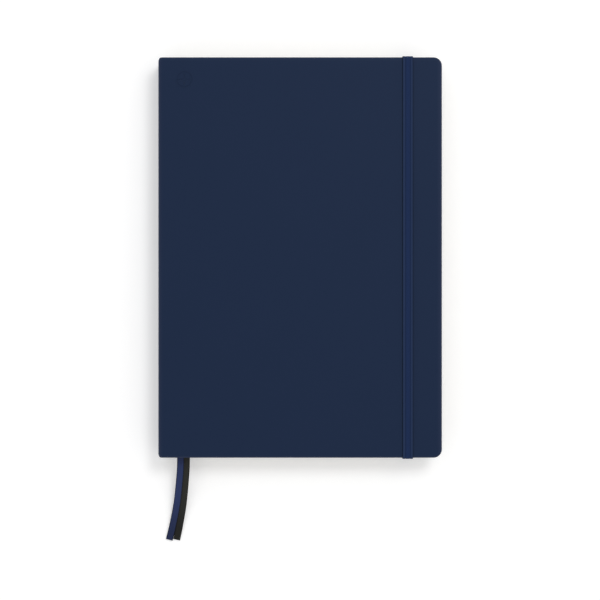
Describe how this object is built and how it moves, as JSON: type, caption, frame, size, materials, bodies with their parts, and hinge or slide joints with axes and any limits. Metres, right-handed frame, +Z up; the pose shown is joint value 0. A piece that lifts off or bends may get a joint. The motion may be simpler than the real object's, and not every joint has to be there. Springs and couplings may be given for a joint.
{
  "type": "pilot logbook",
  "caption": "Sewn hard-case logbook with rounded fore-edge corners, a flat elastic closure band over the front cover and ribbon markers that leave at the tail.",
  "frame": {"origin": "middle of the closed book's footprint, at the back cover's underside, which lies on the table", "axes": "+Z up through the closed book from back cover to front cover, +Y towards the head, +X towards the fore-edge, so the spine is at -X"},
  "size_m": [0.1528, 0.263, 0.018],
  "materials": {
    "cover_skin": "satin",
    "cover_board": "matte",
    "spine_card": "matte",
    "endpapers": "matte",
    "leaves": "matte",
    "lining_cloth": "matte",
    "sewing_thread": "matte",
    "headbands": "satin",
    "navy_ribbon": "satin",
    "black_ribbon": "satin",
    "elastic": "matte"
  },
  "bodies": {
    "back_cover": {"back_board": "cover_board", "back_cover_skin": "cover_skin", "back_pastedown": "endpapers", "back_hinge_skin": "cover_skin", "closure_band_head_anchor": "elastic", "closure_band_tail_anchor": "elastic", "closure_band_head_leg": "elastic", "closure_band_tail_leg": "elastic"},
    "spine": {"spine_board": "spine_card", "spine_skin": "cover_skin"},
    "front_hinge": {"front_hinge_skin": "cover_skin"},
    "front_cover": {"front_board": "cover_board", "front_cover_skin": "cover_skin", "front_pastedown": "endpapers"},
    "rear_pages": {"back_flyleaf": "endpapers", "section_01": "leaves", "section_02": "leaves", "section_03": "leaves", "section_04": "leaves", "section_05": "leaves", "section_06": "leaves", "rear_spine_lining": "lining_cloth", "rear_sewing_thread": "sewing_thread", "rear_headband": "headbands", "rear_tailband": "headbands", "navy_ribbon_inside": "navy_ribbon", "black_ribbon_inside": "black_ribbon", "navy_ribbon_tail": "navy_ribbon", "black_ribbon_tail": "black_ribbon"},
    "front_pages": {"front_flyleaf": "endpapers", "section_07": "leaves", "section_08": "leaves", "section_09": "leaves", "section_10": "leaves", "section_11": "leaves", "section_12": "leaves", "front_spine_lining": "lining_cloth", "front_sewing_thread": "sewing_thread", "front_headband": "headbands", "front_tailband": "headbands"},
    "closure_band": {"closure_band_front": "elastic"}
  },
  "joints": [
    {"name": "block_shift", "type": "slide", "parent": "back_cover", "child": "rear_pages", "axis": [-1, 0, 0], "range_m": [0, 0.007]},
    {"name": "book_open", "type": "hinge", "parent": "rear_pages", "child": "front_pages", "pos_m": [-0.07375, 0, 0.00866], "axis": [0, -1, 0], "range_deg": [0, 180]},
    {"name": "spine_fold", "type": "hinge", "parent": "back_cover", "child": "spine", "pos_m": [-0.07635, 0, -0.0001], "axis": [0, -1, 0], "range_deg": [0, 90]},
    {"name": "front_joint_fold", "type": "hinge", "parent": "spine", "child": "front_hinge", "pos_m": [-0.07635, 0, 0.01742], "axis": [0, -1, 0], "range_deg": [0, 90]},
    {"name": "front_cover_open", "type": "hinge", "parent": "front_hinge", "child": "front_cover", "pos_m": [-0.0692, 0, 0.01742], "axis": [0, -1, 0], "range_deg": [0, 180]},
    {"name": "closure_band_drop", "type": "slide", "parent": "back_cover", "child": "closure_band", "axis": [0, 0, -1], "range_m": [0, 0.00896], "deforming": ["closure_band_head_leg", "closure_band_tail_leg"]}
  ],
  "couplings": [
    {"joint": "block_shift", "follows": "book_open", "m_per_rad": 0.0022282},
    {"joint": "spine_fold", "follows": "book_open", "ratio": 0.5},
    {"joint": "front_joint_fold", "follows": "book_open", "ratio": 0.5},
    {"joint": "closure_band_drop", "follows": "book_open", "m_per_rad": 0.0028521}
  ]
}
